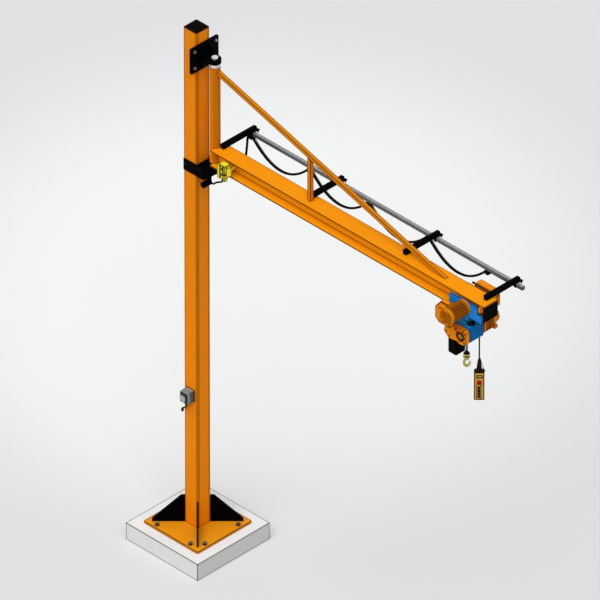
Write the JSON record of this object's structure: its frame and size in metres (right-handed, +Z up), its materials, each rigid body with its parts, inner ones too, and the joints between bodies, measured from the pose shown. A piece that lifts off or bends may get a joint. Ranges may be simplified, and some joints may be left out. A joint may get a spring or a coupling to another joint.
{
  "type": "column jib crane",
  "caption": "Free-standing column jib crane with a slewing, tie-bar braced beam, powered chain hoist on a trolley, sliding supply cable and pendant control.",
  "frame": {"origin": "centre of the foundation block's underside", "axes": "+Z up along the column, +X along the jib at rest, +Y towards the supply rail"},
  "size_m": [3.736, 0.832, 5.032],
  "materials": {
    "concrete": "matt",
    "orange_paint": "satin",
    "black_paint": "satin",
    "black_plastic": "matt",
    "zinc_steel": "satin",
    "bright_steel": "satin",
    "grey_housing": "satin",
    "pale_plastic": "satin",
    "yellow_plastic": "satin",
    "cable_rubber": "matt",
    "blue_paint": "gloss",
    "hoist_orange": "satin",
    "pendant_yellow": "satin",
    "black_steel": "satin",
    "hook_yellow": "satin",
    "cable_grey": "matt"
  },
  "bodies": {
    "root": {"foundation_block": "concrete", "base_plate": "orange_paint", "anchor_bolts": "zinc_steel", "column": "orange_paint", "column_cap": "black_plastic", "gussets": "black_paint", "upper_mounting_plate": "black_paint", "upper_bracket": "black_paint", "upper_bolts": "zinc_steel", "upper_pin": "bright_steel", "lower_bracket": "black_paint", "lower_pin": "bright_steel", "lower_bearing": "black_paint", "swivel_gland": "black_plastic", "isolator_box": "grey_housing"},
    "isolator_knob": {"isolator_handle": "pale_plastic"},
    "jib": {"jib_mast": "orange_paint", "upper_collar": "bright_steel", "jib_beam": "orange_paint", "beam_end_plate": "black_plastic", "tie_bar": "orange_paint", "tie_strut": "orange_paint", "support_arms": "black_paint", "supply_rail": "zinc_steel", "travel_stops": "orange_paint", "terminal_box": "yellow_plastic", "feed_clamp": "black_plastic", "feed_lead": "cable_rubber", "slew_cable": "cable_rubber", "festoon_cable": "cable_rubber", "festoon_wire": "cable_grey"},
    "cable_car_1": {"cable_trolley_1": "black_plastic"},
    "cable_car_2": {"cable_trolley_2": "black_plastic"},
    "cable_car_3": {"cable_trolley_3": "black_plastic"},
    "hoist": {"towing_trolley": "black_plastic", "trolley_plates": "blue_paint", "trolley_wheels": "bright_steel", "hanger_shaft": "zinc_steel", "travel_motor": "hoist_orange", "travel_gearbox": "hoist_orange", "hoist_body": "blue_paint", "gear_cover": "hoist_orange", "hoist_motor": "hoist_orange", "control_box": "hoist_orange", "tow_arm": "black_paint", "chain_container": "black_plastic", "pendant_cable": "cable_rubber", "pendant": "pendant_yellow", "pendant_buttons": "black_plastic"},
    "chain_end": {"load_chain": "black_steel", "hook_block": "hook_yellow"},
    "hook": {"load_hook": "hook_yellow"},
    "latch": {"hook_latch": "bright_steel"}
  },
  "joints": [
    {"name": "jib_slew", "type": "hinge", "parent": "root", "child": "jib", "pos_m": [0.209, 0, 3.78], "axis": [0, 0, 1], "range_deg": [-110, 80], "deforming": ["slew_cable"]},
    {"name": "trolley_travel", "type": "slide", "parent": "jib", "child": "hoist", "axis": [-1, 0, 0], "range_m": [0, 2.25], "deforming": ["festoon_cable", "festoon_wire"]},
    {"name": "cable_car_1_slide", "type": "slide", "parent": "jib", "child": "cable_car_1", "axis": [-1, 0, 0], "range_m": [0, 0.5625]},
    {"name": "cable_car_2_slide", "type": "slide", "parent": "jib", "child": "cable_car_2", "axis": [-1, 0, 0], "range_m": [0, 1.125]},
    {"name": "cable_car_3_slide", "type": "slide", "parent": "jib", "child": "cable_car_3", "axis": [-1, 0, 0], "range_m": [0, 1.6875]},
    {"name": "hook_lift", "type": "slide", "parent": "hoist", "child": "chain_end", "axis": [0, 0, -1], "range_m": [0, 0.24]},
    {"name": "hook_swivel", "type": "hinge", "parent": "chain_end", "child": "hook", "pos_m": [3.039, 0, 3.33], "axis": [0, 0, 1], "continuous": true},
    {"name": "latch_pivot", "type": "hinge", "parent": "hook", "child": "latch", "pos_m": [3.0489, 0.0099, 3.306], "axis": [-0.7071, 0.7071, 0], "range_deg": [0, 40], "stiffness_Nm_per_rad": 0.05},
    {"name": "isolator_turn", "type": "hinge", "parent": "root", "child": "isolator_knob", "pos_m": [0, -0.16, 1.476], "axis": [0, -1, 0], "range_deg": [0, 90]}
  ],
  "couplings": [
    {"joint": "cable_car_1_slide", "follows": "trolley_travel", "ratio": 0.25},
    {"joint": "cable_car_2_slide", "follows": "trolley_travel", "ratio": 0.5},
    {"joint": "cable_car_3_slide", "follows": "trolley_travel", "ratio": 0.75}
  ]
}
